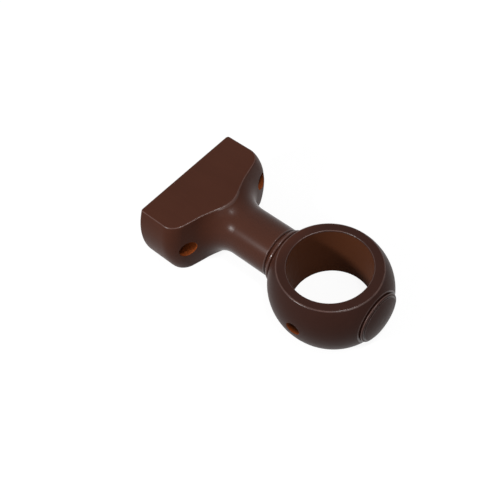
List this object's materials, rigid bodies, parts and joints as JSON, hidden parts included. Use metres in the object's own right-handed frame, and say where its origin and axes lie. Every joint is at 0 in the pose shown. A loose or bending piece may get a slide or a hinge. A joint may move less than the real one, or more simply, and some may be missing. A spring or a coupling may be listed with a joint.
{
  "type": "curtain pole bracket",
  "caption": "Turned wooden curtain pole bracket: wide base with a hollow flare, round neck with a raised collar, and a bored ball with a domed button tip, sawn flat on two sides.",
  "frame": {"origin": "centre of the flat wall face, on the turning axis", "axes": "+X out from the wall along the turning axis to the button, +Y across the wide base, +Z along the curtain pole; the part lies on one of its two sawn flats, as in the picture"},
  "size_m": [0.115, 0.065, 0.03],
  "materials": {
    "stained_wood": "dark coffee-brown stain under a satin lacquer, bare orange-brown wood inside the drilled holes"
  },
  "bodies": {
    "root": {"pole_bracket": "stained_wood"}
  },
  "joints": []
}
